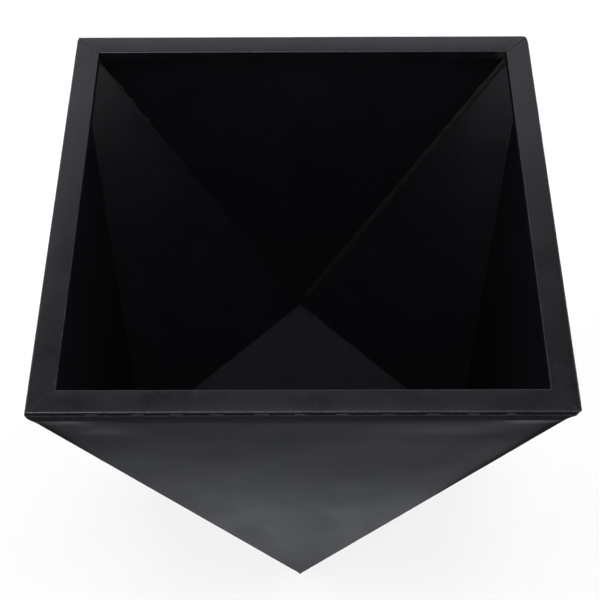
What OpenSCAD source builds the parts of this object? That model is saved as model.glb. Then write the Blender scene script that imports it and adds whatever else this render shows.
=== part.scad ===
// Faceted square planter: a square rim, a square floor turned by 45 degrees, and a welded sheet
// body of eight triangles between them. +Z is up and the front faces -Y. The origin is the centre
// of the floor's underside.

/* [Rim] */
// Outside width of the square tube frame
rim_w = 500; // [420:10:560]
// Width of the rim's flat top
tube_w = 25; // [20:1:35]
// Height of the rim tube
tube_h = 12; // [10:1:16]
// Wall thickness of the rim tube
tube_wall = 1.5; // [1:0.25:1.5]
// Outside corner radius of the rim tube
tube_r = 2; // [1.75:0.25:2.5]

/* [Body] */
// Height from the floor's underside to the top of the rim
height = 420; // [350:2:480]
// Side of the square floor
floor_w = 280; // [240:2:310]
// Thickness of the body's sheet and of the floor
sheet = 1.5; // [1:0.25:2]
// How far below the rim's top the body's lapped edge ends
lap_drop = 4; // [3:0.5:5]
// How far above the rim's top the creases at a corner would meet
crease_rise = 3; // [2:1:8]

/* [Welds] */
// Length of a stitch weld along the lapped edge
stitch_len = 13; // [8:1:16]
// Distance from one stitch weld to the next
stitch_pitch = 38; // [30:1:60]
// Radius of a tack weld on the floor's seam
tack_r = 2; // [1:0.5:3]
// Depth of a weld bead that fills a crease
bead_depth = 1.1; // [0.6:0.1:1.6]
// Radius of a weld dab on a rim mitre, at its foot
dab_r = 3; // [2:0.25:3.5]
// Height of a weld dab above the rim
dab_h = 0.5; // [0.3:0.1:0.8]

/* [Hidden] */

steel_black = [0.10, 0.10, 0.11];
weld_black = [0.16, 0.15, 0.15];

$fn = 48;
reach = 1000;                       // larger than the planter, for slabs and half spaces
face_y = rim_w / 2 + sheet;         // centre to the outside of the lapped edge
lap_top = height - lap_drop;
fold_z = height - tube_h;           // where a side panel bends upright, level with the tube's underside
foot = floor_w / sqrt(2);           // centre to a corner of the floor
side_lean = (face_y - foot) / (fold_z - sheet);
crease_top = height + crease_rise;
crease_y = face_y + side_lean * (crease_top - fold_z);
corner_lean = (sqrt(2) * crease_y - floor_w / 2) / (crease_top - sheet);

// Outer faces of the body, each as its outward unit normal and its distance from the origin
function face(n, p) = let (u = n / norm(n)) [u, u * p];
lap_face = face([0, -1, 0], [0, -face_y, 0]);
side_face = face([0, -1, -side_lean], [0, -foot, sheet]);
right_side_face = face([1, 0, -side_lean], [foot, 0, sheet]);
right_lap_face = face([1, 0, 0], [face_y, 0, 0]);
right_corner_face = face([1, -1, -sqrt(2) * corner_lean], [foot, 0, sheet]);
left_corner_face = face([-1, -1, -sqrt(2) * corner_lean], [-foot, 0, sheet]);

// The seam between a corner panel and the floor, inside: its distance from the centre
seam_u = floor_w / 2 - sheet * sqrt(1 + corner_lean * corner_lean);
// Tack welds on each seam, as distances from the seam's middle, from the front right seam round
tacks = [[-88, 12, 94], [-94, 36, 110], [-89, 2, 89], [-101, -10, 90]];
bead_foot = sheet + 9;              // where the bead in the back right crease begins
bead_runs = [[300, 308], [324, 336], [342, 362], [378, 394]];
dab_at = 229.5;                      // centre to a weld dab, along X and along Y
stitch_side = floor(rim_w / 2 / stitch_pitch) - 1;  // stitch welds on each side of a rail's middle one

// Half of space: the side of the plane through p that n points to
module half_space(p, n) {
    translate(p)
        rotate([0, acos(n.z / norm(n)), atan2(n.y, n.x)])
            translate([-reach, -reach, 0])
                cube([2 * reach, 2 * reach, reach]);
}

// What lies deeper than depth below face f
module below_face(f, depth) {
    half_space(f[0] * (f[1] - depth), -f[0]);
}

// Sheet metal lying just under face f
module sheet_under(f) {
    translate(f[0] * f[1])
        rotate([0, acos(f[0].z), atan2(f[0].y, f[0].x)])
            translate([-reach, -reach, -sheet])
                cube([2 * reach, 2 * reach, sheet]);
}

// What is nearer to face a than to face b, which is bounded by the mitre between them
module nearer(a, b) {
    m = a[0] - b[0];
    half_space(m * (a[1] - b[1]) / (m * m), m);
}

module above(z) {
    half_space([0, 0, z], [0, 0, 1]);
}

module under(z) {
    half_space([0, 0, z], [0, 0, -1]);
}

// One side of the body, at the front: a triangle that points down, with its top folded upright
module side_panel() {
    union() {
        intersection() {
            sheet_under(side_face);
            nearer(side_face, lap_face);
            nearer(side_face, right_corner_face);
            nearer(side_face, left_corner_face);
            above(sheet);
        }
        intersection() {
            sheet_under(lap_face);
            nearer(lap_face, side_face);
            nearer(lap_face, right_corner_face);
            nearer(lap_face, left_corner_face);
            under(lap_top);
        }
    }
}

// One corner of the body, at the front right: a triangle that points up
module corner_panel() {
    intersection() {
        sheet_under(right_corner_face);
        nearer(right_corner_face, side_face);
        nearer(right_corner_face, right_side_face);
        nearer(right_corner_face, lap_face);
        nearer(right_corner_face, right_lap_face);
        translate([0, -reach, sheet])
            cube([reach, reach, lap_top - sheet]);
    }
}

module round_rectangle(w, h, r) {
    union() {
        square([w - 2 * r, h], center = true);
        square([w, h - 2 * r], center = true);
        for (x = [-1, 1], y = [-1, 1])
            translate([x * (w / 2 - r), y * (h / 2 - r)])
                circle(r);
    }
}

// A straight bar along the front of the rim, inset from the tube's outside
module rim_bar(inset) {
    translate([-rim_w / 2, -(rim_w - tube_w) / 2, height - tube_h / 2])
        rotate([90, 0, 90])
            linear_extrude(rim_w)
                round_rectangle(tube_w - 2 * inset, tube_h - 2 * inset, tube_r - inset);
}

// The front rail: a tube mitred at both ends, with its lower corners cut back for the corner panels
module rail() {
    intersection() {
        difference() {
            rim_bar(0);
            rim_bar(tube_wall);
        }
        half_space([0, 0, 0], [1, -1, 0]);
        half_space([0, 0, 0], [-1, -1, 0]);
        below_face(right_corner_face, sheet);
        below_face(left_corner_face, sheet);
    }
}

// A fillet on the lapped edge's top, against the rim tube
module stitch_weld() {
    translate([-stitch_len / 2, -rim_w / 2, lap_top])
        rotate([90, 0, 90])
            linear_extrude(stitch_len)
                polygon([[0, 0], [-sheet, 0], [0, sheet]]);
}

module stitch_row() {
    for (i = [-stitch_side:stitch_side])
        translate([i * stitch_pitch, 0, 0])
            stitch_weld();
}

// A bead that fills the inside of the crease between faces a and b
module crease_bead(a, b, z0, z1) {
    m = a[0] + b[0];
    k = a[1] + b[1] - 2 * sheet - bead_depth * norm(m);
    intersection() {
        below_face(a, sheet);
        below_face(b, sheet);
        half_space(m * k / (m * m), m);
        translate([0, -reach, z0])
            cube([reach, 2 * reach, z1 - z0]);
    }
}

// Tack welds on the seam between the front right corner panel and the floor
module tack_row(places) {
    intersection() {
        union()
            for (v = places)
                rotate(-45)
                    translate([seam_u, v, sheet])
                        sphere(tack_r);
        above(sheet);
        below_face(right_corner_face, sheet);
    }
}

// A low round dab of weld on the rim's flat top, with sloping sides
module mitre_dab() {
    translate([dab_at, dab_at, height])
        cylinder(h = dab_h, r1 = dab_r, r2 = dab_r - 2 * dab_h);
}

module rim_front_rail() {
    color(steel_black) rail();
}

module rim_right_rail() {
    color(steel_black) rotate(90) rail();
}

module rim_back_rail() {
    color(steel_black) rotate(180) rail();
}

module rim_left_rail() {
    color(steel_black) rotate(270) rail();
}

module front_panel() {
    color(steel_black) side_panel();
}

module right_panel() {
    color(steel_black) rotate(90) side_panel();
}

module back_panel() {
    color(steel_black) rotate(180) side_panel();
}

module left_panel() {
    color(steel_black) rotate(270) side_panel();
}

module front_right_corner_panel() {
    color(steel_black) corner_panel();
}

module back_right_corner_panel() {
    color(steel_black) rotate(90) corner_panel();
}

module back_left_corner_panel() {
    color(steel_black) rotate(180) corner_panel();
}

module front_left_corner_panel() {
    color(steel_black) rotate(270) corner_panel();
}

module floor_plate() {
    color(steel_black)
        rotate(45)
            translate([-floor_w / 2, -floor_w / 2, 0])
                cube([floor_w, floor_w, sheet]);
}

module rim_stitch_welds() {
    color(weld_black)
        for (turn = [0:3])
            rotate(90 * turn)
                stitch_row();
}

module rim_mitre_welds() {
    color(weld_black)
        for (turn = [0, 90])
            rotate(turn)
                mitre_dab();
}

module floor_tack_welds() {
    color(weld_black)
        for (turn = [0:3])
            rotate(90 * turn)
                tack_row(tacks[turn]);
}

module back_right_seam_weld() {
    color(weld_black)
        rotate(90)
            crease_bead(right_corner_face, right_side_face, bead_foot, fold_z);
}

module back_left_seam_welds() {
    color(weld_black)
        rotate(180)
            for (run = bead_runs)
                crease_bead(right_corner_face, side_face, run[0], run[1]);
}

rim_front_rail();
rim_right_rail();
rim_back_rail();
rim_left_rail();
front_panel();
right_panel();
back_panel();
left_panel();
front_right_corner_panel();
back_right_corner_panel();
back_left_corner_panel();
front_left_corner_panel();
floor_plate();
rim_stitch_welds();
rim_mitre_welds();
floor_tack_welds();
back_right_seam_weld();
back_left_seam_welds();
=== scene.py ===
"""Looks for the faceted square planter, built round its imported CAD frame. Everything is in metres."""
import math
import random

import bmesh
import bpy
from mathutils import Matrix, Vector, noise


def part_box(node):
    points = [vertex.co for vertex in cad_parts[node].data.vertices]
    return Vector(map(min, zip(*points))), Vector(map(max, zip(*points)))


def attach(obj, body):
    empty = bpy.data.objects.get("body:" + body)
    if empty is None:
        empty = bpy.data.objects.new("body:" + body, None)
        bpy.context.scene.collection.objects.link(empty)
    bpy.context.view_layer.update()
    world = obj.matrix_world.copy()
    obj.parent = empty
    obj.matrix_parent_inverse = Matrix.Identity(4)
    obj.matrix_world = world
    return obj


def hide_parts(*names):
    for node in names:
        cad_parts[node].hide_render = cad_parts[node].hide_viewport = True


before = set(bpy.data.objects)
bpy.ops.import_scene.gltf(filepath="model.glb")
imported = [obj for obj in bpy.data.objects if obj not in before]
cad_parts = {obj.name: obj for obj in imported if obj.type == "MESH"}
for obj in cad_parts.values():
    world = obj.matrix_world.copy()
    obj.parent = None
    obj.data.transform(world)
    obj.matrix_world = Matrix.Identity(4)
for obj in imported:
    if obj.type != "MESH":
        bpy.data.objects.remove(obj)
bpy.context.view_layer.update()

MM = 0.001
ROOT2 = math.sqrt(2)
UP = Vector((0, 0, 1))

# Measures taken from the frame
RAIL_LOW, RAIL_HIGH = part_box("rim_front_rail")
LAP_LOW, LAP_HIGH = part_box("front_panel")
FLOOR_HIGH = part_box("floor_plate")[1]
RIM = RAIL_HIGH.x                       # centre to the outside of the rim tube
TOP = RAIL_HIGH.z                       # the rim's flat top
TUBE_W = RAIL_HIGH.y - RAIL_LOW.y
FOLD_Z = RAIL_LOW.z                     # where a side panel bends upright
LAP_Y = -LAP_LOW.y                      # centre to the outside of the lapped sheet
LAP_TOP = LAP_HIGH.z
SHEET = FLOOR_HIGH.z                    # thickness of the sheet, and the height of the floor's top
FOOT = FLOOR_HIGH.x                     # centre to a corner of the floor

# Measures that the frame doesn't give
TUBE_R = 1.3 * MM                       # rounding of the tube's edges
TUBE_CROWN = 0.30 * MM                  # how much higher the tube's flat top is in its middle
TUBE_WALL = 1.5 * MM                    # thickness of the tube's wall
CREASE_RISE = 3 * MM                    # how far above the rim the creases at a corner would meet
FOLD_HALF = 1.6 * MM                    # half of the bend's height at a corner
SOFT_FOLD = 7.5 * MM                    # and in the middle of a side, where the sheet bends softly
SEAM_R = 1.4 * MM                       # rounding of an outside seam after grinding
FOOT_SLIP = -4.5 * MM                   # how far to the right of the rim's middle the foot was welded on

SIDE_LEAN = (LAP_Y - FOOT) / (FOLD_Z - SHEET)
CREASE_TOP = TOP + CREASE_RISE
CREASE_Y = LAP_Y + SIDE_LEAN * (CREASE_TOP - FOLD_Z)
CORNER_LEAN = (ROOT2 * CREASE_Y - FOOT / ROOT2) / (CREASE_TOP - SHEET)

SIDES = ("front", "right", "back", "left")
CORNERS = ("front_right", "back_right", "back_left", "front_left")
# The radius of the rim's outer corners in plan, in that order, and how much larger it is at the lap
PLAN_RADIUS = (1.3 * MM, 4.6 * MM, 0.9 * MM, 1.0 * MM)
PLAN_GRIND = (4.5 * MM, 0, 0, 0)

# How each corner panel was set by hand, in mm: its slip at the fold, a bulge near the fold, and that
# bulge's height above it
CORNER_SLIPS = ((-8.0, 5.0, 9), (0, 0, 0), (0, 0, 0), (-0.3, 2.0, 3))
BULGE_HALF = 4.5 * MM                   # half of a bulge's height


# ---------------------------------------------------------------- numbers

def clamp(t):
    return max(0.0, min(1.0, t))


def smooth(t):
    t = clamp(t)
    return t * t * (3 - 2 * t)


def bump_at(value, centre, width):
    """A bell curve: 1 at the centre, and about a third at that width from it."""
    return math.exp(-((value - centre) / width) ** 2)


def grain(x, y, z, size):
    """Smooth noise from -1 to 1 whose lumps are about that size. z is a seed."""
    return noise.noise(Vector((x / size, y / size, z)))


def spread(start, end, step):
    """Evenly spaced values from start to end, about a step apart."""
    count = max(1, round(abs(end - start) / step))
    return [start + (end - start) * i / count for i in range(count + 1)]


# ---------------------------------------------------------------- the body's surfaces

def side_slope(z):
    """How far a side panel leans in for each metre down: none above the fold."""
    return SIDE_LEAN * clamp((FOLD_Z - z) / FOLD_HALF / 2 + 0.5)


def fold_drop(z, half):
    """How far a side panel's skin lies inside the lapped sheet's, for a bend of that half height."""
    t = (FOLD_Z - z) / half
    if t >= 1:
        return SIDE_LEAN * (FOLD_Z - z)
    return SIDE_LEAN * half * max(0.0, t + 1) ** 2 / 4


def side_distance(z, depth=0.0):
    """Centre to a side panel, at a height and at a depth under its outer skin."""
    return LAP_Y - fold_drop(z, FOLD_HALF) - depth * math.hypot(1, side_slope(z))


def corner_slip(corner, z):
    """How far a hand-set corner panel stands out from its place, measured along the rim."""
    slip, bulge, bulge_z = CORNER_SLIPS[corner]
    out = slip * clamp((z - SHEET) / (FOLD_Z - SHEET))
    out += bulge * bump_at(z, FOLD_Z + bulge_z * MM, BULGE_HALF)
    return out * MM


def corner_distance(corner, z, depth=0.0):
    """Centre to a corner panel, level, at a height and at a depth under its outer skin."""
    flat = FOOT / ROOT2 + CORNER_LEAN * (z - SHEET) + corner_slip(corner, z) / ROOT2
    return flat - depth * math.hypot(1, CORNER_LEAN)


def seam_x(corner, z, depth=0.0):
    """From a side panel's middle to its seam at that corner."""
    return ROOT2 * corner_distance(corner, z, depth) - side_distance(z, depth)


def seam_u(corner, z, depth=0.0):
    """Half of a corner panel's width where its seams run."""
    return ROOT2 * side_distance(z, depth) - corner_distance(corner, z, depth)


def side_normal(z):
    return Vector((0, -1, -side_slope(z))).normalized()


CORNER_NORMAL = Vector((1 / ROOT2, -1 / ROOT2, -CORNER_LEAN)).normalized()
# A distance square to a seam, as a share of the level distance, on a side panel and on a corner panel
SIDE_SLANT = math.cos(math.atan(RIM / FOLD_Z))
CORNER_SLANT = math.cos(math.atan(FOOT / ROOT2 / FOLD_Z / math.hypot(1, CORNER_LEAN)))


def seam_round(z):
    """A seam's radius at that height, how far the rounding reaches, and half of the seam's angle."""
    radius = SEAM_R * (1 + 0.35 * grain(z, 0, 7.7, 23 * MM))
    half = side_normal(z).angle(CORNER_NORMAL) / 2
    return radius, radius * math.tan(half), half


def round_depth(distance, z):
    """How deep the rounded seam lies under the flat skin, that far from the sharp seam."""
    radius, reach, _ = seam_round(z)
    if distance >= reach:
        return 0.0
    return radius - math.sqrt(radius * radius - (reach - distance) ** 2)


def rounded_seam(corner, z):
    """A point in the middle of a corner's seam with the side panel on its left, turned to the front."""
    radius, _, half = seam_round(z)
    sharp = Vector((seam_x(corner, z), -side_distance(z), z))
    middle = (side_normal(z) + CORNER_NORMAL).normalized()
    return sharp - middle * (radius / math.cos(half) - radius)


def at_turn(point, turn):
    """The point turned about the planter's axis by that many quarter turns."""
    return Matrix.Rotation(math.radians(90 * turn), 3, "Z") @ point


def nearest_corner(point):
    """The rim's corner on the point's side: 0 front right, 1 back right, 2 back left, 3 front left."""
    if point.x > 0:
        return 1 if point.y > 0 else 0
    return 2 if point.y > 0 else 3


PLAN_START = FOLD_Z - 14 * MM           # the rounding in plan starts at this height, and is
PLAN_FULL = 12 * MM                     # complete this much higher


def round_plan(point):
    """Rounds the rim in plan: squeezes a square corner into a quarter circle."""
    corner = nearest_corner(point)
    radius = PLAN_RADIUS[corner] + PLAN_GRIND[corner] * clamp((TOP - 1 * MM - point.z) / (TOP - LAP_TOP))
    turned = at_turn(point, -corner)
    qx = turned.x - (RIM - radius)
    qy = -turned.y - (RIM - radius)
    if qx <= 0 or qy <= 0:
        return point
    share = smooth((turned.z - PLAN_START) / PLAN_FULL)
    factor = 1 - share * (1 - max(qx, qy) / math.hypot(qx, qy))
    turned.x = RIM - radius + qx * factor
    turned.y = -(RIM - radius + qy * factor)
    return at_turn(turned, corner)


# ---------------------------------------------------------------- meshes

def new_mesh():
    """A mesh whose points carry how worn they are, and how scorched."""
    bm = bmesh.new()
    bm.verts.layers.float.new("wear")
    bm.verts.layers.float.new("scorch")
    return bm


WELD_DISTANCE = 0.004 * MM              # vertices closer than this become one


def finish_mesh(bm, name, sharp=38):
    """Makes an object of the mesh, set over sideways by the foot's slip. Its faces are smooth, and its
    edges are sharp past that angle."""
    bmesh.ops.remove_doubles(bm, verts=bm.verts, dist=WELD_DISTANCE)
    for vert in bm.verts:
        vert.co.x += FOOT_SLIP * (1 - vert.co.z / TOP)
    bmesh.ops.recalc_face_normals(bm, faces=bm.faces)
    mesh = bpy.data.meshes.new(name)
    bm.to_mesh(mesh)
    bm.free()
    mesh.polygons.foreach_set("use_smooth", [True] * len(mesh.polygons))
    mesh.set_sharp_from_angle(angle=math.radians(sharp))
    piece = bpy.data.objects.new(name, mesh)
    bpy.context.scene.collection.objects.link(piece)
    return piece


def place(piece, node, slot, material):
    """Puts the piece on the body, in place of its CAD node."""
    piece.data.materials.append(material)
    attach(piece, "root")
    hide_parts(node)
    return piece


def add_grid(bm, rows):
    """Adds rows of (point, wear) and returns their vertices."""
    wear = bm.verts.layers.float["wear"]
    grid = []
    for row in rows:
        line = []
        for point, worn in row:
            vert = bm.verts.new(point)
            vert[wear] = worn
            line.append(vert)
        grid.append(line)
    return grid


def fill_grid(bm, grid, closed=False):
    """Joins each row to the next with faces, all the way round if closed."""
    for lower, upper in zip(grid, grid[1:]):
        count = len(lower) if closed else len(lower) - 1
        for i in range(count):
            j = (i + 1) % len(lower)
            bm.faces.new((lower[i], lower[j], upper[j], upper[i]))


def rim_of(grid):
    """The grid's vertices in order round its edge."""
    bottom = grid[0][:-1]
    right = [row[-1] for row in grid[:-1]]
    top = list(reversed(grid[-1][1:]))
    left = [row[0] for row in reversed(grid[1:])]
    return bottom + right + top + left


def sheet_mesh(name, outer, inner):
    """A closed sheet of metal between two grids of (point, wear)."""
    bm = new_mesh()
    skin, lining = add_grid(bm, outer), add_grid(bm, inner)
    fill_grid(bm, skin)
    fill_grid(bm, lining)
    fill_grid(bm, [rim_of(skin), rim_of(lining)], closed=True)
    return finish_mesh(bm, name)


def turned_rows(rows, turn):
    """The rows turned to their side of the planter, with the rim's corners rounded in plan."""
    return [[(round_plan(at_turn(point, turn)), worn) for point, worn in row] for row in rows]


# ---------------------------------------------------------------- panels

# Dents by side, in mm: place along the side, place below the fold, half width, half heights over and
# under that place, depth
DENTS = (
    ((-220, 12, 24, 9, 24, 1.1), (-186, 33, 28, 13, 30, 0.9), (222, 11, 38, 9, 26, 1.3),
     (150, 34, 64, 18, 50, 1.1), (105, 90, 80, 40, 60, 1.3)),
    ((-190, 14, 40, 12, 30, 0.7), (150, 30, 60, 26, 26, 0.8)),
    ((0, 150, 60, 60, 60, 0.7), (-200, 12, 30, 10, 25, 0.6)),
    ((200, 12, 36, 11, 30, 0.8), (-90, 40, 70, 30, 30, 0.7)),
)
EDGE_STEPS = (0.45, 1.0, 2.2, 5.0)      # columns beside a seam, in reaches of its rounding
SIDE_COLUMNS = 96
CORNER_COLUMNS = 56
# Bands of rows up a panel, in mm: where each ends, above the fold, and the rows' spacing. The last
# spacing runs on to the lapped edge
SIDE_BANDS = ((-45, 6.5), (-10, 2.4), (2, 0.8))
SIDE_LAST_STEP = 1.1
CORNER_BANDS = ((-20, 6.5), (2, 1.1))
CORNER_LAST_STEP = 1.9
LAP_ROUND = 0.5 * MM                    # height of the lapped edge's rounding
SOFT_ENDS = 35 * MM                     # the bend is sharp this close to the rim's corners, and is
SOFT_FULL = 60 * MM                     # softest this much farther in


def side_buckle(side, x, z):
    """How far a side panel's thin sheet stands out from flat."""
    below = FOLD_Z - z
    edge = seam_x(side if x > 0 else (side - 1) % 4, z) - abs(x)
    softness = smooth((RIM - SOFT_ENDS - abs(x)) / SOFT_FULL)
    out = (fold_drop(z, FOLD_HALF) - fold_drop(z, SOFT_FOLD)) * softness
    out += 0.75 * MM * grain(x, z, 3.1 + side, 120 * MM) * smooth(min(edge, below) / (45 * MM))
    out += 0.12 * MM * grain(x, z, 9.7 + side, 38 * MM) * smooth(min(edge, below) / (20 * MM))
    for cx, cz, half_x, half_over, half_under, depth in DENTS[side]:
        half_z = half_over if below < cz * MM else half_under
        shape = bump_at(x, cx * MM, half_x * MM) * bump_at(below, cz * MM, half_z * MM)
        out -= depth * MM * shape * smooth(below / (3 * MM)) * smooth(edge / (4 * MM))
    return out


def corner_buckle(corner, u, z):
    """How far a corner panel's sheet stands out from flat."""
    edge = min(seam_u(corner, z) - abs(u), z - SHEET)
    out = 0.6 * MM * grain(u, z, 13.3 + corner, 110 * MM) * smooth(edge / (40 * MM))
    return out + 0.1 * MM * grain(u, z, 17.9 + corner, 36 * MM) * smooth(edge / (20 * MM))


def row_heights(bands, last_step):
    """Heights of a panel's rows, from the floor's top to the lapped edge's."""
    start = SHEET
    heights = [start]
    for end, step in bands:
        heights += spread(start, FOLD_Z + end * MM, step * MM)[1:]
        start = FOLD_Z + end * MM
    heights += spread(start, LAP_TOP - LAP_ROUND, last_step * MM)[1:]
    return heights + [LAP_TOP - LAP_ROUND / 2, LAP_TOP]


def row_places(left, right, z, columns):
    """Places along a level row from -left to right: close together beside its seams."""
    _, reach, _ = seam_round(z)
    scale = reach * min(1.0, (left + right) / (28 * MM))
    steps = [step * scale for step in EDGE_STEPS]
    flat = spread(steps[-1] - left, right - steps[-1], (left + right - 2 * steps[-1]) / columns)
    return [step - left for step in steps[:-1]] + flat + [right - step for step in reversed(steps[:-1])]


def edge_wear(distance, z):
    """Wear beside a seam and along the lapped edge."""
    _, reach, _ = seam_round(z)
    return max(clamp(1.2 - distance / reach), clamp(1 - (LAP_TOP - z) / (0.7 * MM)))


def lap_round(z):
    """How far the lapped edge's rounding draws the skin in, close to its top."""
    return 0.3 * MM * smooth((z - LAP_TOP + LAP_ROUND) / LAP_ROUND)


def side_row(side, z):
    """One level row of a side panel's outer skin, from left to right."""
    before = (side - 1) % 4
    left, right = seam_x(before, z), seam_x(side, z)
    if left + right < 0.02 * MM:
        return [(Vector((0, -side_distance(z), z)), 1.0)] * (SIDE_COLUMNS + 2 * len(EDGE_STEPS) + 1)
    start, end = rounded_seam(before, z), rounded_seam(side, z)
    row = [(Vector((-start.x, start.y, start.z)), 1.0)]
    for x in row_places(left, right, z, SIDE_COLUMNS):
        distance = min(right - x, x + left) * SIDE_SLANT
        out = side_buckle(side, x, z) - round_depth(distance, z) - lap_round(z)
        point = Vector((x, -side_distance(z), z)) + side_normal(z) * out
        row.append((point, edge_wear(distance, z)))
    return row + [(end, 1.0)]


def side_lining(side, z, skin):
    """The same row on the inside of the sheet."""
    left, right = -seam_x((side - 1) % 4, z, SHEET), seam_x(side, z, SHEET)
    first, last = skin[0][0].x, skin[-1][0].x
    row = []
    for point, _ in skin:
        share = (point.x - first) / max(last - first, 0.01 * MM)
        x = left + (right - left) * share if right > left else 0.0
        out = side_buckle(side, x, z) if 0 < share < 1 else 0.0
        row.append((Vector((x, -side_distance(z, SHEET), z)) + side_normal(z) * out, 0.0))
    return row


def inner_tip():
    """The height where the inside of a side panel comes to a point."""
    low, high = SHEET, SHEET + 5 * MM
    for _ in range(40):
        middle = (low + high) / 2
        low, high = (middle, high) if seam_x(1, middle, SHEET) < 0 else (low, middle)
    return high


def side_panel(turn, material):
    """A sheet triangle that points down, with its top edge bent upright."""
    tip = inner_tip()
    outer, inner = [], []
    for z in row_heights(SIDE_BANDS, SIDE_LAST_STEP):
        outer.append(side_row(turn, z))
        lift = (tip - SHEET) * clamp(1 - (z - SHEET) / (30 * MM))
        inner.append(side_lining(turn, z + lift, outer[-1]))
    node = SIDES[turn] + "_panel"
    piece = sheet_mesh(node + "_sheet", turned_rows(outer, turn), turned_rows(inner, turn))
    place(piece, node, "body_coat", material)


def corner_point(corner, u, z, depth=0.0, out=0.0):
    """A point on a corner panel, turned to the front right. u runs along it, away from the front."""
    distance = corner_distance(corner, z, depth)
    return Vector(((distance + u) / ROOT2, (u - distance) / ROOT2, z)) + CORNER_NORMAL * out


def corner_row(corner, z):
    """One level row of a corner panel's outer skin, starting at the seam on its left."""
    half = seam_u(corner, z)
    end = rounded_seam(corner, z)
    row = [(end, 1.0)]
    for u in row_places(half, half, z, CORNER_COLUMNS):
        distance = (half - abs(u)) * CORNER_SLANT
        out = corner_buckle(corner, u, z) - round_depth(distance, z) - lap_round(z)
        row.append((corner_point(corner, u, z, 0, out), edge_wear(distance, z)))
    return row + [(Vector((-end.y, -end.x, end.z)), 1.0)]


def corner_lining(corner, z):
    """The same row on the inside of the sheet."""
    outer_half, half = seam_u(corner, z), seam_u(corner, z, SHEET)
    places = [-outer_half] + row_places(outer_half, outer_half, z, CORNER_COLUMNS) + [outer_half]
    row = []
    for place_u in places:
        u = place_u * half / outer_half
        out = corner_buckle(corner, u, z) if abs(place_u) < outer_half else 0.0
        row.append((corner_point(corner, u, z, SHEET, out), 0.0))
    return row


def corner_panel(turn, material):
    """A sheet triangle that points up, standing on one side of the floor."""
    heights = row_heights(CORNER_BANDS, CORNER_LAST_STEP)
    outer = [corner_row(turn, z) for z in heights]
    inner = [corner_lining(turn, z) for z in heights]
    node = CORNERS[turn] + "_corner_panel"
    piece = sheet_mesh(node + "_sheet", turned_rows(outer, turn), turned_rows(inner, turn))
    place(piece, node, "body_coat", material)


FLOOR_ROUND = 0.6 * MM                  # width of the rounding along the floor's edges
FLOOR_ROUND_DEPTH = 0.25 * MM


def floor_rows(lift):
    """A square grid turned to the floor's angle. lift gives a point's height and wear."""
    half = FOOT / ROOT2
    edges = (0.0, 0.25 * MM, FLOOR_ROUND)
    places = [-half + edge for edge in edges] + spread(-half + 4 * MM, half - 4 * MM, 6 * MM)
    places += [half - edge for edge in reversed(edges)]
    rows = []
    for v in places:
        row = []
        for u in places:
            height, worn = lift(u, v, half - max(abs(u), abs(v)))
            row.append((Vector(((u - v) / ROOT2, (u + v) / ROOT2, height)), worn))
        rows.append(row)
    return rows


def floor_top(u, v, edge):
    """The height and the wear of the floor's top: slightly dished, with rounded edges."""
    dish = 0.35 * MM * smooth(edge / (60 * MM)) * (0.4 + grain(u, v, 21.5, 90 * MM))
    rounding = FLOOR_ROUND_DEPTH * (1 - smooth(edge / FLOOR_ROUND))
    return SHEET - dish - rounding, clamp(1 - edge / FLOOR_ROUND)


def floor_bottom(_u, _v, edge):
    """The height and the wear of the floor's underside, which stands flat on the ground."""
    return FLOOR_ROUND_DEPTH * (1 - smooth(edge / FLOOR_ROUND)), 0.0


def floor_plate(material):
    piece = sheet_mesh("floor_plate_sheet", floor_rows(floor_top), floor_rows(floor_bottom))
    place(piece, "floor_plate", "body_coat", material)


# ---------------------------------------------------------------- the rim's rails

# Rings along a rail: for each stretch, how far from the mitre it ends and its rings' spacing
END_STRETCH, END_STEP = 5 * MM, 0.4 * MM
NEAR_STRETCH, NEAR_STEP = 22 * MM, 1.2 * MM
MIDDLE_STEP = 5 * MM
ARC_STEPS = 8
FLAT_STEPS = (4, 8, 4, 18)              # on the tube's outer face, underside, inner face and top
MITRE_RIDGES = (0.03, 0.10, 0.12, 0.03)   # height in mm of the ground weld on each corner's mitre
DIMPLE = Vector((RIM - 2.6 * MM, RIM - 4.2 * MM))   # a weld's crater beside the back right corner
DIMPLE_DEPTH, DIMPLE_R = 0.35 * MM, 0.9 * MM
SCORCH_X = RIM - 29 * MM                # middle of the heat mark inside the back rail, near its right end


def tube_section(inset):
    """The tube's section as (distance from the centre, height, wear), clockwise from its outer top."""
    radius = max(TUBE_R - inset, 0.3 * MM)
    edge = inset + radius
    near, far = RIM - TUBE_W + edge, RIM - edge
    low, high = FOLD_Z + edge, TOP - TUBE_CROWN - edge
    corners = ((far, high), (far, low), (near, low), (near, high))
    section = []
    for i, (r, z) in enumerate(corners):
        for step in range(ARC_STEPS + 1):
            angle = math.radians(90 - 90 * i - 90 * step / ARC_STEPS)
            worn = math.sin(math.pi * step / ARC_STEPS)
            section.append((r + radius * math.cos(angle), z + radius * math.sin(angle), worn))
        next_r, next_z = corners[(i + 1) % 4]
        angle = math.radians(-90 * i)
        for step in range(1, FLAT_STEPS[i]):
            share = step / FLAT_STEPS[i]
            flat_r = r + (next_r - r) * share + radius * math.cos(angle)
            flat_z = z + (next_z - z) * share + radius * math.sin(angle)
            bulge = TUBE_CROWN * 4 * share * (1 - share) if i == 3 and not inset else 0.0
            section.append((flat_r, flat_z + bulge, 0.0))
    return section


def rail_stations():
    """Places along a rail, as shares of the way from its middle to its end."""
    ends = spread(0, END_STRETCH, END_STEP) + spread(END_STRETCH, NEAR_STRETCH, NEAR_STEP)[1:]
    middle = spread(NEAR_STRETCH, 2 * RIM - NEAR_STRETCH, MIDDLE_STEP)[1:-1]
    places = ends + middle + [2 * RIM - end for end in reversed(ends)]
    return [place_x / RIM - 1 for place_x in places]


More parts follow.
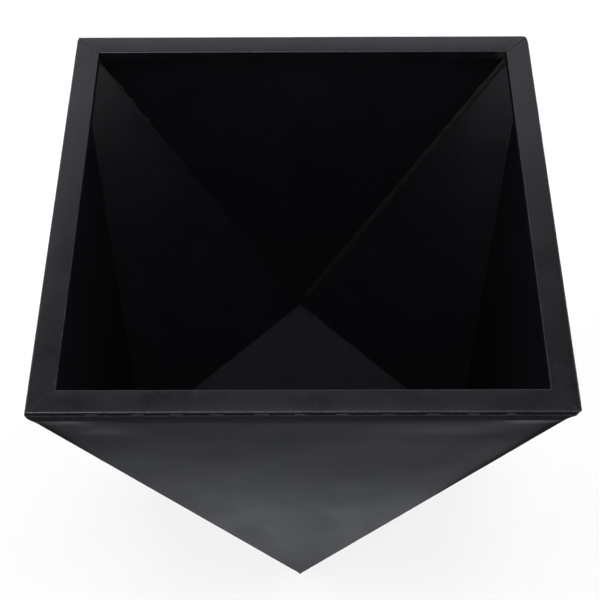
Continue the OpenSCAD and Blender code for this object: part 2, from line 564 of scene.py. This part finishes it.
def rail_point(turn, share, r, z):
    """A point on a rail's skin, with the slight waves of the tube and the ground weld at its mitres."""
    corner = turn if share > 0 else (turn - 1) % 4
    to_mitre = (1 - abs(share)) * r / ROOT2
    upper = smooth((z - TOP + TUBE_CROWN + TUBE_R) / TUBE_R)
    fade = smooth(to_mitre / (10 * MM))
    x = share * r
    wave = grain(x, turn, 31.7, 70 * MM) + 0.6 * grain(x, r + turn, 37.1, 26 * MM)
    lift = 0.05 * MM * wave * fade
    ridge = MITRE_RIDGES[corner] * (1 + 0.6 * grain(r, 0, 41.3 + corner, 2.5 * MM))
    lift += ridge * MM * bump_at(to_mitre, 0, 1.1 * MM)
    lift -= 0.07 * MM * bump_at(to_mitre, 3.2 * MM, 2.2 * MM)
    side = 0.06 * MM * grain(x, z, 43.9 + turn, 60 * MM) * fade * (1 - upper)
    return Vector((x, -r - side, z + lift * upper))


def dimpled(point):
    """Presses the weld's crater into the rim's top."""
    if point.z > TOP - 1 * MM:
        away = (Vector((point.x, point.y)) - DIMPLE).length
        point.z -= DIMPLE_DEPTH * bump_at(away, 0, DIMPLE_R)
    return point


def scorch_of(turn, point):
    """How far the weld's heat has marked a point on the back rail's inner face."""
    if turn != 2 or point.y > RIM - TUBE_W + 1 * MM:
        return 0.0
    return bump_at(point.x, SCORCH_X, 5.5 * MM) * smooth((TOP - point.z) / (3 * MM))


def rail_mesh(turn):
    """A hollow rail: its skin, its bore, and rings of wall at its two mitred ends."""
    bm = new_mesh()
    scorch = bm.verts.layers.float["scorch"]
    skin_section, bore_section = tube_section(0), tube_section(TUBE_WALL)
    skin = add_grid(bm, [[(dimpled(round_plan(at_turn(rail_point(turn, share, r, z), turn))), worn)
                          for r, z, worn in skin_section] for share in rail_stations()])
    for ring in skin:
        for vert in ring:
            vert[scorch] = scorch_of(turn, vert.co)
    bore = add_grid(bm, [[(at_turn(Vector((share * r, -r, z)), turn), 0.0) for r, z, _ in bore_section]
                         for share in (-1, 1)])
    fill_grid(bm, skin, closed=True)
    fill_grid(bm, bore, closed=True)
    fill_grid(bm, [skin[0], bore[0]], closed=True)
    fill_grid(bm, [skin[-1], bore[-1]], closed=True)
    return bm


def cut_for_corner(bm, corner):
    """Cuts a rail back where the corner panel passes under it, but never through its top corner."""
    inner = corner_distance(corner, FOLD_Z, SHEET + 0.02 * MM)
    lean = max(CORNER_LEAN, (RIM * ROOT2 - inner) / (TOP - 1.5 * MM - FOLD_Z))
    on_plane = at_turn(Vector((inner / ROOT2, -inner / ROOT2, FOLD_Z)), corner)
    normal = at_turn(Vector((1 / ROOT2, -1 / ROOT2, -lean)).normalized(), corner)
    geometry = bm.verts[:] + bm.edges[:] + bm.faces[:]
    cut = bmesh.ops.bisect_plane(bm, geom=geometry, plane_co=on_plane, plane_no=normal, clear_outer=True,
                                 dist=0.001 * MM)
    edges = [part for part in cut["geom_cut"] if isinstance(part, bmesh.types.BMEdge)]
    bmesh.ops.triangle_fill(bm, edges=edges, use_beauty=True, use_dissolve=False)


def rail(turn, material):
    """A rail of the rim, cut back at both ends for the corner panels."""
    bm = rail_mesh(turn)
    cut_for_corner(bm, turn)
    cut_for_corner(bm, (turn - 1) % 4)
    node = "rim_" + SIDES[turn] + "_rail"
    piece = finish_mesh(bm, node + "_tube", sharp=42)
    return place(piece, node, "rim_coat", material)


# ---------------------------------------------------------------- welds

RIPPLE = 1.9 * MM                       # from one ripple of a weld bead to the next
BEAD_STEP = 0.45 * MM                   # from one ring of a bead's mesh to the next
BEAD_SINK = 0.3 * MM                    # how deep a bead goes into the faces that it joins
BEAD_SHARP = 60                         # edges of a bead are sharp past this angle


def bead_ring(centre, first, second, size, crown):
    """A bead's section in the angle between two faces: first and second point along the faces."""
    outwards = (first + second).normalized()
    sunk = -outwards * BEAD_SINK
    start, end = centre + first * size + sunk, centre + second * size + sunk
    ring = [centre + sunk, start]
    for step in range(1, 6):
        share = step / 6
        swell = outwards * crown * size * math.sin(math.pi * share)
        ring.append(start.lerp(end, share) - sunk * 0.8 + swell)
    return ring + [end]


def close_ends(bm, rings):
    """Closes a tube of rings at both its ends."""
    bm.faces.new(list(reversed(rings[0])))
    bm.faces.new(rings[-1])


def add_bead(bm, start, end, first, second, size, seed, scorch=None, uneven=0.2, crown=0.28):
    """Adds one run of weld from start to end, with ripples, uneven edges and rounded ends."""
    length = (end - start).length
    along = (end - start).normalized()
    wear, marked = bm.verts.layers.float["wear"], bm.verts.layers.float["scorch"]
    rings = []
    for s in spread(0, length, BEAD_STEP):
        near_end = min(s, length - s)
        taper = math.sqrt(clamp((near_end + 0.15 * MM) / (1.3 * size)))
        phase = (s / RIPPLE + 0.5 * grain(s, seed, 51.1, 6 * MM)) % 1.0
        ripple = 1 + 0.13 * (abs(2 * phase - 1) - 0.5)
        wide = size * taper * (1 + uneven * grain(s, seed, 53.3, 9 * MM))
        centre = start + along * s
        height = crown * ripple + 0.4 * crown * grain(s, seed, 57.7, 7 * MM)
        ring = []
        for point in bead_ring(centre, first, second, wide * (0.94 + 0.06 * ripple), height):
            vert = bm.verts.new(point)
            vert[wear] = clamp(2.2 * (ripple - 1)) * 0.6
            vert[marked] = scorch(point) if scorch else 0.0
            ring.append(vert)
        rings.append(ring)
    fill_grid(bm, rings, closed=True)
    close_ends(bm, rings)


def add_spatter(bm, point, radius):
    """Adds one small ball of weld spatter."""
    made = bmesh.ops.create_icosphere(bm, subdivisions=2, radius=radius, matrix=Matrix.Translation(point))
    wear = bm.verts.layers.float["wear"]
    for vert in made["verts"]:
        vert[wear] = 0.5


STITCH_LENGTH = 13 * MM
STITCH_PITCH = 38 * MM
STITCHES = 5                            # on each side of a rail's middle one
STITCH_SIZE = 1.2 * MM


def stitch_welds(material):
    """The rows of short beads on the lapped edge, against the rim tube."""
    bm = new_mesh()
    chance = random.Random(11)
    for turn in range(4):
        ledge = at_turn(Vector((0, -1, 0)), turn)
        for i in range(-STITCHES, STITCHES + 1):
            middle = i * STITCH_PITCH + chance.uniform(-3.5, 3.5) * MM
            half = STITCH_LENGTH / 2 * chance.uniform(0.8, 1.1)
            start = at_turn(Vector((middle - half, -RIM, LAP_TOP)), turn)
            end = at_turn(Vector((middle + half, -RIM, LAP_TOP)), turn)
            add_bead(bm, start, end, ledge, UP, STITCH_SIZE, 10 * turn + i)
    piece = finish_mesh(bm, "rim_stitch_beads", sharp=BEAD_SHARP)
    place(piece, "rim_stitch_welds", "weld_coat", material)


TACKS = ((-88, 12, 94), (-94, 36, 110), (-89, 2, 89), (-101, -10, 90))   # in mm from each seam's middle
TACK_SPATTER = 3                        # balls of spatter beside each tack
ON_FLOOR = Vector((-1, 1, 0)) / ROOT2   # across the floor, away from its front right seam
ALONG_SEAM = Vector((1, 1, 0)) / ROOT2
UP_PANEL = Vector((CORNER_LEAN / ROOT2, -CORNER_LEAN / ROOT2, 1)).normalized()


def add_tack(bm, turn, v, chance):
    """Adds one dot of weld, that far along its seam, with a little spatter."""
    half = chance.uniform(1.3, 2.2) * MM
    start = corner_point(1, v * MM - half, SHEET, SHEET)
    end = corner_point(1, v * MM + half, SHEET, SHEET)
    add_bead(bm, at_turn(start, turn), at_turn(end, turn), at_turn(ON_FLOOR, turn),
             at_turn(UP_PANEL, turn), chance.uniform(1.7, 2.3) * MM, v + turn)
    for _ in range(TACK_SPATTER):
        away = ON_FLOOR * chance.uniform(2, 7) * MM
        beside = ALONG_SEAM * chance.uniform(-5, 5) * MM
        middle = at_turn((start + end) / 2 + away + beside, turn)
        add_spatter(bm, middle, chance.uniform(0.2, 0.4) * MM)


def tack_welds(material):
    """The dots of weld along the floor's seams, inside."""
    bm = new_mesh()
    chance = random.Random(5)
    for turn, places in enumerate(TACKS):
        for v in places:
            add_tack(bm, turn, v, chance)
    piece = finish_mesh(bm, "floor_tack_beads", sharp=BEAD_SHARP)
    place(piece, "floor_tack_welds", "weld_coat", material)


def crease(corner, z, left):
    """A point in a corner panel's inside crease, at the side panel on its left or on its right."""
    x, y = seam_x(corner, z, SHEET), -side_distance(z, SHEET)
    return at_turn(Vector((x, y, z)) if left else Vector((-y, -x, z)), corner)


CREASE_LOW, CREASE_HIGH = 60 * MM, 300 * MM   # heights that a crease's direction is taken from


def crease_faces(corner, left):
    """Directions away from the crease and square to it: along the side panel, along the corner panel."""
    along = (crease(corner, CREASE_HIGH, left) - crease(corner, CREASE_LOW, left)).normalized()
    inwards = -side_normal(SHEET)
    side_inwards = at_turn(inwards, corner if left else corner + 1)
    corner_inwards = at_turn(-CORNER_NORMAL, corner)
    on_side, on_corner = along.cross(side_inwards), along.cross(corner_inwards)
    if on_side.dot(corner_inwards) < 0:
        on_side = -on_side
    if on_corner.dot(side_inwards) < 0:
        on_corner = -on_corner
    return on_side.normalized(), on_corner.normalized()


SPATTER = 90                            # balls of spatter beside the long bead
LONG_BEAD_SIZE = 4.0 * MM


def long_bead_scorch(point):
    """How far heat has browned the long bead there: fully at its top."""
    return smooth((point.z - FOLD_Z + 60 * MM) / (55 * MM))


def back_right_bead(material):
    """The long bead down the inside of the back right crease, brown from heat near its top."""
    bm = new_mesh()
    chance = random.Random(23)
    on_side, on_corner = crease_faces(1, left=False)
    bottom, top = crease(1, 12 * MM, left=False), crease(1, FOLD_Z - 2 * MM, left=False)
    add_bead(bm, bottom, top, on_side, on_corner, LONG_BEAD_SIZE, 3, long_bead_scorch, crown=0.09)
    for _ in range(SPATTER):
        share = chance.random() ** 0.7
        face = on_side if chance.random() < 0.65 else on_corner
        point = bottom.lerp(top, share) + face * chance.uniform(3.5, 16) * MM
        add_spatter(bm, point, chance.uniform(0.15, 0.42) * MM)
    piece = finish_mesh(bm, "back_right_seam_bead", sharp=BEAD_SHARP)
    place(piece, "back_right_seam_weld", "weld_coat", material)


BACK_LEFT_RUNS = ((300, 308), (324, 336), (342, 362), (378, 394))   # heights in mm


def back_left_beads(material):
    """Short runs of weld near the top of the back left crease, inside."""
    bm = new_mesh()
    chance = random.Random(31)
    on_side, on_corner = crease_faces(2, left=True)
    for low, high in BACK_LEFT_RUNS:
        start, end = crease(2, low * MM, left=True), crease(2, high * MM, left=True)
        size = chance.uniform(1.5, 2.2) * MM
        add_bead(bm, start, end, on_side, on_corner, size, low, uneven=0.6, crown=0.16)
    piece = finish_mesh(bm, "back_left_seam_beads", sharp=BEAD_SHARP)
    place(piece, "back_left_seam_welds", "weld_coat", material)


# Weld dabs on the rim, in mm: middle along X and Y, and the arc's radius, sweep in degrees and width
DABS = (
    ((-229.6, 226.2), 4.2, (-40, 200), 2.2),
    ((230.9, 228.0), 3.0, (60, 330), 2.3),
)
DAB_STEPS = 32                          # along a dab's arc
DAB_ARC = 6                             # across it
# Specks of spatter on the rim's front corners, in mm: place along X and Y, and radius
SPECKS = ((243.7, -244.5, 0.75), (241.0, -241.2, 0.35), (-248.6, -239.4, 0.7), (-248.9, -242.3, 0.45),
          (-244.9, -245.7, 0.45), (-246.9, -243.4, 0.35), (-242.2, -247.3, 0.35))


def add_dab(bm, middle, radius, sweep, width, seed):
    """Adds a low, uneven crescent of weld that lies on the rim's flat top."""
    wear = bm.verts.layers.float["wear"]
    rings = []
    for i in range(DAB_STEPS + 1):
        share = i / DAB_STEPS
        angle = math.radians(sweep[0] + (sweep[1] - sweep[0]) * share)
        out = Vector((math.cos(angle), math.sin(angle), 0))
        swell = math.sqrt(clamp(math.sin(math.pi * (0.04 + 0.92 * share))))
        half = width / 2 * swell * (1 + 0.35 * grain(share, seed, 61.3, 0.23))
        centre = middle + out * radius * (1 + 0.12 * grain(share, seed, 67.1, 0.4))
        ring = []
        for step in range(DAB_ARC + 1):
            turn = math.pi * step / DAB_ARC
            height = 0.42 * MM * swell * math.sin(turn) - 0.08 * MM
            vert = bm.verts.new(centre - out * half * math.cos(turn) + UP * height)
            vert[wear] = 0.7 * math.sin(turn)
            ring.append(vert)
        rings.append(ring)
    fill_grid(bm, rings, closed=True)
    close_ends(bm, rings)


def mitre_dabs(material):
    """The two dabs of weld at the back inner corners, and the specks at the front ones."""
    bm = new_mesh()
    for seed, ((x, y), radius, sweep, width) in enumerate(DABS):
        add_dab(bm, Vector((x * MM, y * MM, TOP)), radius * MM, sweep, width * MM, seed)
    for x, y, radius in SPECKS:
        add_spatter(bm, Vector((x * MM, y * MM, TOP - 0.1 * MM)), radius * MM)
    piece = finish_mesh(bm, "rim_mitre_dabs", sharp=BEAD_SHARP)
    return place(piece, "rim_mitre_welds", "weld_coat", material)


# ---------------------------------------------------------------- materials

class Nodes:
    """Adds nodes to a material and joins them."""

    def __init__(self, name):
        self.material = bpy.data.materials.new(name)
        self.material.use_nodes = True
        self.tree = self.material.node_tree
        self.tree.nodes.clear()
        self.shader = self.add("ShaderNodeBsdfPrincipled")
        self.output = self.add("ShaderNodeOutputMaterial")
        self.join(self.shader.outputs["BSDF"], self.output.inputs["Surface"])
        self.position = self.add("ShaderNodeTexCoord").outputs["Object"]

    def add(self, kind, **settings):
        node = self.tree.nodes.new(kind)
        for key, value in settings.items():
            setattr(node, key, value)
        return node

    def join(self, output, socket):
        self.tree.links.new(output, socket)

    def feed(self, socket, value):
        """Sets a socket to a number or joins it to another node's output."""
        if isinstance(value, bpy.types.NodeSocket):
            self.join(value, socket)
        else:
            socket.default_value = value

    def noise(self, size, detail=2.0, rough=0.5, low=0.3, high=0.7):
        """Noise with lumps of that size in metres, stretched so that low to high becomes 0 to 1."""
        texture = self.add("ShaderNodeTexNoise")
        texture.inputs["Scale"].default_value = 1 / size
        texture.inputs["Detail"].default_value = detail
        texture.inputs["Roughness"].default_value = rough
        self.join(self.position, texture.inputs["Vector"])
        return self.between(texture.outputs["Fac"], low, high, 0.0, 1.0)

    def between(self, value, low, high, start, end):
        """Maps low to high onto start to end, and keeps what lies beyond at the ends."""
        node = self.add("ShaderNodeMapRange", interpolation_type="SMOOTHSTEP")
        node.inputs["From Min"].default_value = low
        node.inputs["From Max"].default_value = high
        node.inputs["To Min"].default_value = start
        node.inputs["To Max"].default_value = end
        self.join(value, node.inputs["Value"])
        return node.outputs["Result"]

    def calc(self, operation, first, second):
        """Joins two numbers by a sum, a product or another operation."""
        node = self.add("ShaderNodeMath", operation=operation)
        self.feed(node.inputs[0], first)
        self.feed(node.inputs[1], second)
        return node.outputs[0]

    def mix(self, share, first, second):
        """Mixes two colours."""
        node = self.add("ShaderNodeMix", data_type="RGBA")
        self.feed(node.inputs["Factor"], share)
        self.feed(node.inputs["A"], first)
        self.feed(node.inputs["B"], second)
        return node.outputs["Result"]

    def attribute(self, name):
        return self.add("ShaderNodeAttribute", attribute_name=name).outputs["Fac"]

    def bump(self, height, distance, below=None):
        """Bump of that distance in metres, laid over the bump below it."""
        node = self.add("ShaderNodeBump")
        node.inputs["Strength"].default_value = 1.0
        node.inputs["Distance"].default_value = distance
        self.join(height, node.inputs["Height"])
        if below:
            self.join(below, node.inputs["Normal"])
        return node.outputs["Normal"]


def rgb(red, green, blue):
    return (red, green, blue, 1.0)


RUBBED = rgb(0.045, 0.044, 0.046)       # the coat's colour where it is rubbed,
SCORCHED = rgb(0.052, 0.044, 0.030)     # where heat has browned it,
DUSTY = rgb(0.16, 0.16, 0.155)          # and where dust lies on it


def coat_tint(n, warm, cool, rubbed, dust):
    """The coat's colour: patchy, and changed where it is rubbed, scorched or dusty."""
    tint = n.mix(n.noise(75 * MM, detail=3.0), warm, cool)
    tint = n.mix(n.calc("MULTIPLY", rubbed, 0.7), tint, RUBBED)
    mottle = n.noise(2.2 * MM, detail=3.0, low=0.25, high=0.6)
    tint = n.mix(n.calc("MULTIPLY", n.attribute("scorch"), mottle), tint, SCORCHED)
    return n.mix(n.calc("MULTIPLY", dust, 0.5), tint, DUSTY)


def coat_roughness(n, roughness, rubbed, dust):
    """The coat's roughness: uneven, and higher where it is rubbed or dusty."""
    patchy = n.calc("MULTIPLY", n.noise(42 * MM, detail=4.0), 0.08)
    fine = n.calc("MULTIPLY", n.noise(1.1 * MM, detail=1.0), 0.03)
    rough = n.calc("ADD", n.calc("ADD", patchy, fine), roughness - 0.05)
    rough = n.calc("ADD", rough, n.calc("MULTIPLY", rubbed, 0.08))
    return n.calc("ADD", rough, n.calc("MULTIPLY", dust, 0.3))


def powder_coat(name, warm, cool, roughness, peel, ior):
    """Black satin powder coat with orange peel of that depth."""
    n = Nodes(name)
    rubbed = n.calc("MULTIPLY", n.attribute("wear"), n.noise(3.5 * MM, detail=4.0, low=0.38, high=0.62))
    specks = n.noise(0.9 * MM, detail=0.0, low=0.77, high=0.80)
    dust = n.calc("MULTIPLY", specks, n.noise(60 * MM, low=0.4, high=0.6))
    n.join(coat_tint(n, warm, cool, rubbed, dust), n.shader.inputs["Base Color"])
    n.join(coat_roughness(n, roughness, rubbed, dust), n.shader.inputs["Roughness"])
    n.shader.inputs["IOR"].default_value = ior
    skin = n.bump(n.noise(1.6 * MM, detail=1.5, low=0.2, high=0.8), peel)
    skin = n.bump(n.noise(0.35 * MM, detail=2.0, low=0.2, high=0.8), peel * 0.22, skin)
    n.join(skin, n.shader.inputs["Normal"])
    return n.material


def floor_paper():
    """Plain pale paper for the floor."""
    n = Nodes("floor_paper")
    tone = n.mix(n.noise(0.4, detail=2.0), rgb(0.82, 0.82, 0.82), rgb(0.85, 0.85, 0.85))
    n.join(tone, n.shader.inputs["Base Color"])
    n.shader.inputs["Roughness"].default_value = 0.9
    n.shader.inputs["Specular IOR Level"].default_value = 0.15
    return n.material


# ---------------------------------------------------------------- studio

FLOOR_HALF = 6.0                        # metres from the middle of the studio's floor to its edge


def flat_sheet(name, z, material):
    """A level sheet of the studio, which isn't part of the planter."""
    bm = bmesh.new()
    bmesh.ops.create_grid(bm, x_segments=2, y_segments=2, size=FLOOR_HALF)
    mesh = bpy.data.meshes.new(name)
    bm.to_mesh(mesh)
    bm.free()
    sheet = bpy.data.objects.new(name, mesh)
    sheet.location = (0, 0, z)
    mesh.materials.append(material)
    bpy.context.scene.collection.objects.link(sheet)
    return sheet


# How bright the reflected floor glows, at distances in metres from the planter's middle, and its tint:
# painted light and shade for the coat to mirror, painted shade near the foot and from about 0.33 to 0.8 m
# out, a painted bright band about 0.25 to 0.29 m out
GLOW = ((0.0, 0.46), (0.20, 0.48), (0.25, 0.78), (0.287, 0.74), (0.325, 0.24), (0.38, 0.08), (0.60, 0.03),
        (0.80, 0.08), (1.20, 0.50))
GLOW_TINT = (0.955, 0.985, 1.06)
GLOW_REACH = GLOW[-1][0]


def glowing_floor():
    """Painted light and shade on a glowing sheet, set by how far from the planter it lies along X or Y.
    """
    n = Nodes("glowing_floor")
    parts = n.add("ShaderNodeSeparateXYZ")
    n.join(n.position, parts.inputs["Vector"])
    away_x = n.calc("ABSOLUTE", parts.outputs["X"], 0.0)
    away_y = n.calc("ABSOLUTE", parts.outputs["Y"], 0.0)
    ramp = n.add("ShaderNodeValToRGB")
    n.join(n.calc("DIVIDE", n.calc("MAXIMUM", away_x, away_y), GLOW_REACH), ramp.inputs["Fac"])
    ramp.color_ramp.interpolation = "EASE"
    steps = ramp.color_ramp.elements
    while len(steps) < len(GLOW):
        steps.new(0.5)
    for step, (distance, level) in zip(steps, GLOW):
        step.position = distance / GLOW_REACH
        step.color = rgb(*(channel * level for channel in GLOW_TINT))
    emission = n.add("ShaderNodeEmission")
    n.join(ramp.outputs["Color"], emission.inputs["Color"])
    n.join(emission.outputs["Emission"], n.output.inputs["Surface"])
    return n.material


def studio_floor():
    """The floor that the camera sees, and a dimmer glowing one, painted with light and shade, that shows
    in the planter's gloss alone.
    """
    floor = flat_sheet("studio_floor", -0.2 * MM, floor_paper())
    floor.visible_glossy = False
    gleam = flat_sheet("reflected_floor", -0.1 * MM, glowing_floor())
    gleam.visible_camera = gleam.visible_diffuse = gleam.visible_shadow = False
    gleam.visible_transmission = gleam.visible_volume_scatter = False
    return floor


def soft_light(name, place, size, radiance, colour, target=(0, 0, 0.4), spread_degrees=180):
    """A rectangular soft light that faces its target and looks that bright from straight in front."""
    light = bpy.data.lights.new(name, "AREA")
    light.shape = "RECTANGLE"
    light.size, light.size_y = size
    light.energy = radiance * math.pi * size[0] * size[1]
    light.color = colour
    light.spread = math.radians(spread_degrees)
    lamp = bpy.data.objects.new(name, light)
    lamp.location = place
    lamp.rotation_euler = (Vector(target) - Vector(place)).to_track_quat("-Z", "Y").to_euler()
    bpy.context.scene.collection.objects.link(lamp)
    return lamp


def link_light(lamp, pieces, state, blockers=False):
    """Makes a light fall on those pieces alone (INCLUDE), or on everything but them (EXCLUDE). With
    blockers, only those pieces throw its shadows too."""
    receivers = bpy.data.collections.new(lamp.name + "_receivers")
    for piece in pieces:
        receivers.objects.link(piece)
    for item in receivers.collection_objects:
        item.light_linking.link_state = state
    lamp.light_linking.receiver_collection = receivers
    if blockers:
        lamp.light_linking.blocker_collection = receivers


OVERHEAD, HORIZON = 0.10, 0.64          # how bright the wall is high up and low down
DARKENS_FROM, DARKENS_TO = 0.22, 0.55   # how steeply one looks up where it starts and stops darkening


def studio_world():
    """A pale wall all round that gets darker overhead."""
    world = bpy.data.worlds.new("studio_world")
    world.use_nodes = True
    nodes, links = world.node_tree.nodes, world.node_tree.links
    direction = nodes.new("ShaderNodeTexCoord")
    parts = nodes.new("ShaderNodeSeparateXYZ")
    strength = nodes.new("ShaderNodeMapRange")
    strength.interpolation_type = "SMOOTHSTEP"
    strength.inputs["From Min"].default_value = DARKENS_FROM
    strength.inputs["From Max"].default_value = DARKENS_TO
    strength.inputs["To Min"].default_value = HORIZON
    strength.inputs["To Max"].default_value = OVERHEAD
    links.new(direction.outputs["Generated"], parts.inputs["Vector"])
    links.new(parts.outputs["Z"], strength.inputs["Value"])
    background = nodes["Background"]
    background.inputs["Color"].default_value = rgb(1, 1, 1)
    links.new(strength.outputs["Result"], background.inputs["Strength"])
    bpy.context.scene.world = world


COOL = (0.94, 0.97, 1.10)
VIOLET = (1.0, 0.94, 1.10)
WHITE = (1, 1, 1)
# Soft lights round the planter: name, place, size, radiance, colour
LIGHTS = (
    ("top_light", (0, 0, 2.3), (0.85, 0.85), 4.1, COOL),
    ("front_light", (0.1, -1.5, 2.2), (2.4, 2.0), 1.0, COOL),
    ("edge_light", (-1.1, -1.9, 1.9), (0.22, 0.22), 330, COOL),
    ("back_light", (-0.2, 2.6, 2.15), (3.2, 1.5), 1.05, VIOLET),
    ("key_light", (-1.35, 1.9, 2.7), (0.5, 0.5), 1.4, VIOLET),
    ("left_light", (-2.4, 0.1, 1.2), (1.8, 1.2), 1.3, VIOLET),
    ("right_light", (2.4, 0.1, 1.2), (1.8, 1.2), 1.1, VIOLET),
)
FLOOR_RADIANCE = 2.85 / math.pi


def studio_lights(floor, rim_pieces):
    """Soft lights on every side. The edge light picks out the rim's edges alone, by gloss, and the last
    light keeps the floor pale."""
    studio_world()
    lamps = {row[0]: soft_light(*row) for row in LIGHTS}
    link_light(lamps["top_light"], [floor], "EXCLUDE")
    link_light(lamps["front_light"], [floor], "EXCLUDE")
    link_light(lamps["edge_light"], rim_pieces, "INCLUDE")
    lamps["edge_light"].visible_diffuse = False
    whole_floor = (2 * FLOOR_HALF, 2 * FLOOR_HALF)
    above = soft_light("floor_light", (0, 0, 2.5), whole_floor, FLOOR_RADIANCE, WHITE, target=(0, 0, 0),
                       spread_degrees=20)
    link_light(above, [floor], "INCLUDE", blockers=True)


# The camera, as read from the perspective of the rim and the creases: lens in mm, angles in degrees
LENS = 84.36
ELEVATION = 52.148
AZIMUTH = 0.337
ROLL = -0.424
DISTANCE = 1.340
TARGET = Vector((-2.81 * MM, -122.65 * MM, TOP))


def studio_camera():
    """Looks down at the front rail, from the front."""
    azimuth, elevation, roll = (math.radians(a) for a in (AZIMUTH, ELEVATION, ROLL))
    level = math.cos(elevation)
    back = Vector((math.sin(azimuth) * level, -math.cos(azimuth) * level, math.sin(elevation)))
    right = Vector((math.cos(azimuth), math.sin(azimuth), 0))
    right = Matrix.Rotation(roll, 3, back) @ right
    turn = Matrix((right, back.cross(right), back)).transposed()
    camera = bpy.data.objects.new("camera", bpy.data.cameras.new("camera"))
    camera.data.lens = LENS
    camera.data.clip_start = 0.01
    camera.matrix_world = Matrix.Translation(TARGET + back * DISTANCE) @ turn.to_4x4()
    bpy.context.scene.collection.objects.link(camera)
    bpy.context.scene.camera = camera


# ---------------------------------------------------------------- the planter

# Coats: name, warm tint, cool tint, roughness, depth of the orange peel, IOR
RIM_COAT = ("rim_powder_coat", rgb(0.0070, 0.0054, 0.0086), rgb(0.0050, 0.0060, 0.0064),
            0.305, 0.010 * MM, 1.46)
BODY_COAT = ("body_powder_coat", rgb(0.0096, 0.0090, 0.0114), rgb(0.0084, 0.0089, 0.0100),
             0.33, 0.007 * MM, 1.40)
WELD_COAT = ("weld_powder_coat", rgb(0.016, 0.0145, 0.015), rgb(0.012, 0.0125, 0.013),
             0.42, 0.05 * MM, 1.46)


def build():
    """Builds every piece, and returns those of the rim's top."""
    rim, body, weld = powder_coat(*RIM_COAT), powder_coat(*BODY_COAT), powder_coat(*WELD_COAT)
    rim_pieces = [rail(turn, rim) for turn in range(4)]
    for turn in range(4):
        side_panel(turn, body)
        corner_panel(turn, body)
    floor_plate(body)
    stitch_welds(weld)
    tack_welds(weld)
    back_right_bead(weld)
    back_left_beads(weld)
    rim_pieces.append(mitre_dabs(weld))
    return rim_pieces


rim_pieces = build()
studio_lights(studio_floor(), rim_pieces)
studio_camera()
bpy.context.scene.view_settings.view_transform = "Standard"

bpy.context.view_layer.update()
